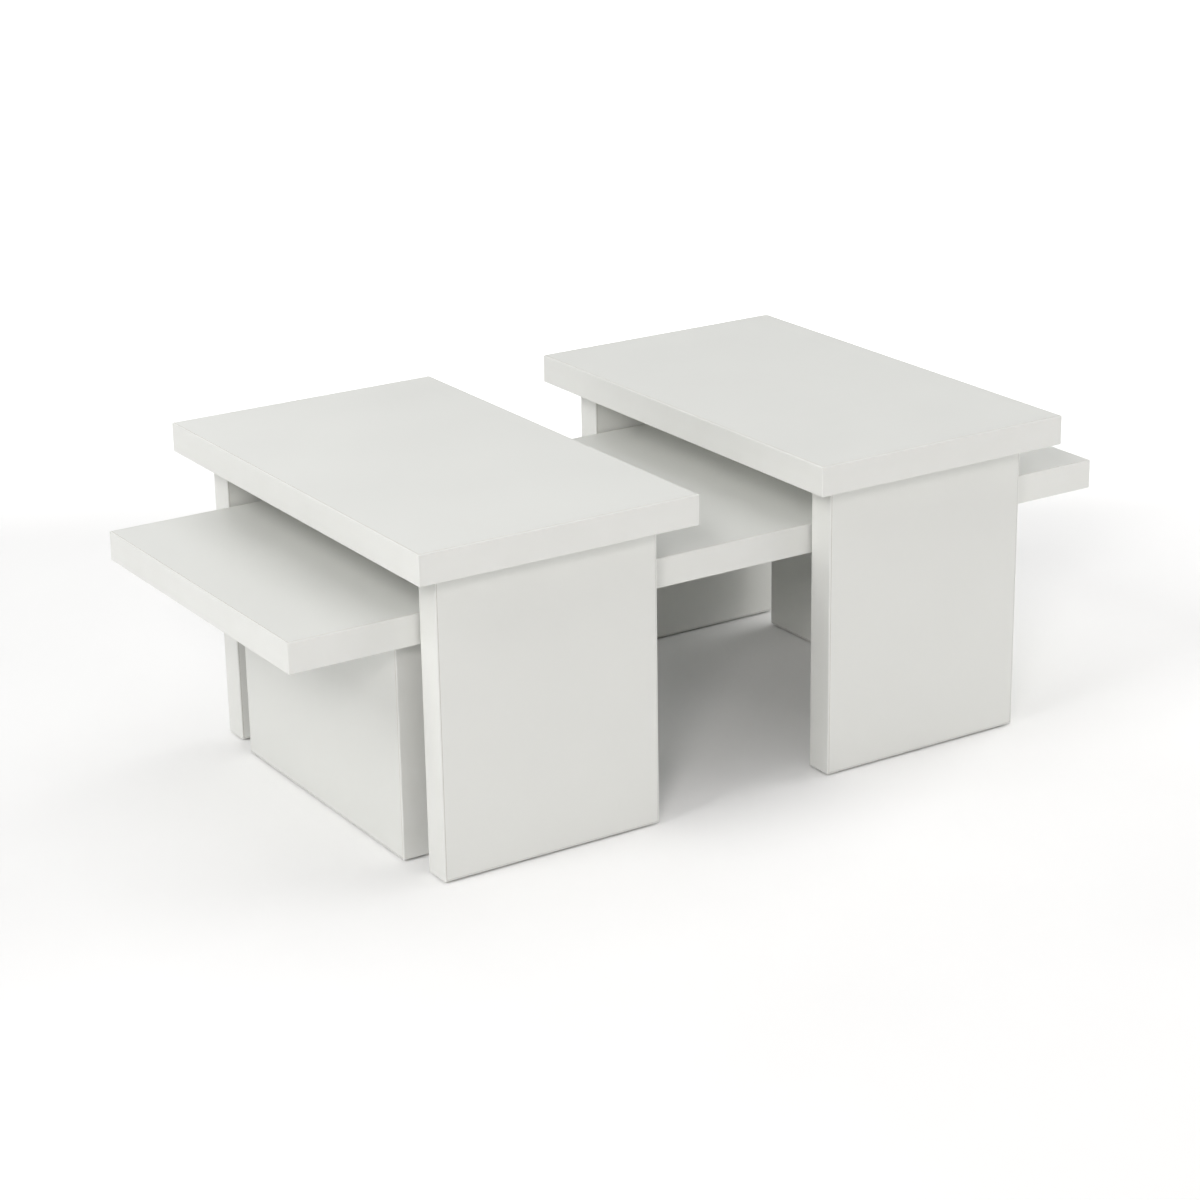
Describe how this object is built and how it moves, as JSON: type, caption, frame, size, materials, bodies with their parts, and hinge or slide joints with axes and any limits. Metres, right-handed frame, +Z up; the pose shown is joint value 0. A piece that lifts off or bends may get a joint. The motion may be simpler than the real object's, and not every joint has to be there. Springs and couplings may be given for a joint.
{
  "type": "nesting tables",
  "caption": "Long low slab-leg coffee table with taller matching side tables that straddle it crosswise and slide along its length, in white edge-banded board.",
  "frame": {"origin": "on the floor, under the middle of the low table", "axes": "+X along the low table's length to its right end, +Y to the back along the tall tables' length, +Z up"},
  "size_m": [1.116, 0.6, 0.4],
  "materials": {
    "white_melamine_board": "satin",
    "white_edge_banding": "satin",
    "grey_felt": "matte",
    "zinc_cam": "satin",
    "zinc_plated_bolt": "satin",
    "beech_dowel": "matte"
  },
  "bodies": {
    "low_table": {"low_table_top": "white_melamine_board", "low_table_top_edge_band": "white_edge_banding", "low_table_left_leg": "white_melamine_board", "low_table_left_leg_edge_band": "white_edge_banding", "low_table_left_leg_felt": "grey_felt", "low_table_left_leg_front_cam": "zinc_cam", "low_table_left_leg_front_bolt": "zinc_plated_bolt", "low_table_left_leg_front_dowel": "beech_dowel", "low_table_left_leg_back_cam": "zinc_cam", "low_table_left_leg_back_bolt": "zinc_plated_bolt", "low_table_left_leg_back_dowel": "beech_dowel", "low_table_right_leg": "white_melamine_board", "low_table_right_leg_edge_band": "white_edge_banding", "low_table_right_leg_felt": "grey_felt", "low_table_right_leg_front_cam": "zinc_cam", "low_table_right_leg_front_bolt": "zinc_plated_bolt", "low_table_right_leg_front_dowel": "beech_dowel", "low_table_right_leg_back_cam": "zinc_cam", "low_table_right_leg_back_bolt": "zinc_plated_bolt", "low_table_right_leg_back_dowel": "beech_dowel"},
    "left_table": {"left_table_top": "white_melamine_board", "left_table_top_edge_band": "white_edge_banding", "left_table_front_leg": "white_melamine_board", "left_table_front_leg_edge_band": "white_edge_banding", "left_table_front_leg_felt": "grey_felt", "left_table_front_leg_left_cam": "zinc_cam", "left_table_front_leg_left_bolt": "zinc_plated_bolt", "left_table_front_leg_left_dowel": "beech_dowel", "left_table_front_leg_right_cam": "zinc_cam", "left_table_front_leg_right_bolt": "zinc_plated_bolt", "left_table_front_leg_right_dowel": "beech_dowel", "left_table_back_leg": "white_melamine_board", "left_table_back_leg_edge_band": "white_edge_banding", "left_table_back_leg_felt": "grey_felt", "left_table_back_leg_left_cam": "zinc_cam", "left_table_back_leg_left_bolt": "zinc_plated_bolt", "left_table_back_leg_left_dowel": "beech_dowel", "left_table_back_leg_right_cam": "zinc_cam", "left_table_back_leg_right_bolt": "zinc_plated_bolt", "left_table_back_leg_right_dowel": "beech_dowel"},
    "right_table": {"right_table_top": "white_melamine_board", "right_table_top_edge_band": "white_edge_banding", "right_table_front_leg": "white_melamine_board", "right_table_front_leg_edge_band": "white_edge_banding", "right_table_front_leg_felt": "grey_felt", "right_table_front_leg_left_cam": "zinc_cam", "right_table_front_leg_left_bolt": "zinc_plated_bolt", "right_table_front_leg_left_dowel": "beech_dowel", "right_table_front_leg_right_cam": "zinc_cam", "right_table_front_leg_right_bolt": "zinc_plated_bolt", "right_table_front_leg_right_dowel": "beech_dowel", "right_table_back_leg": "white_melamine_board", "right_table_back_leg_edge_band": "white_edge_banding", "right_table_back_leg_felt": "grey_felt", "right_table_back_leg_left_cam": "zinc_cam", "right_table_back_leg_left_bolt": "zinc_plated_bolt", "right_table_back_leg_left_dowel": "beech_dowel", "right_table_back_leg_right_cam": "zinc_cam", "right_table_back_leg_right_bolt": "zinc_plated_bolt", "right_table_back_leg_right_dowel": "beech_dowel"}
  },
  "joints": [
    {"name": "left_table_slide", "type": "slide", "parent": "low_table", "child": "left_table", "axis": [-1, 0, 0], "range_m": [-0.083, 0.487]},
    {"name": "right_table_slide", "type": "slide", "parent": "low_table", "child": "right_table", "axis": [1, 0, 0], "range_m": [-0.083, 0.48]}
  ]
}
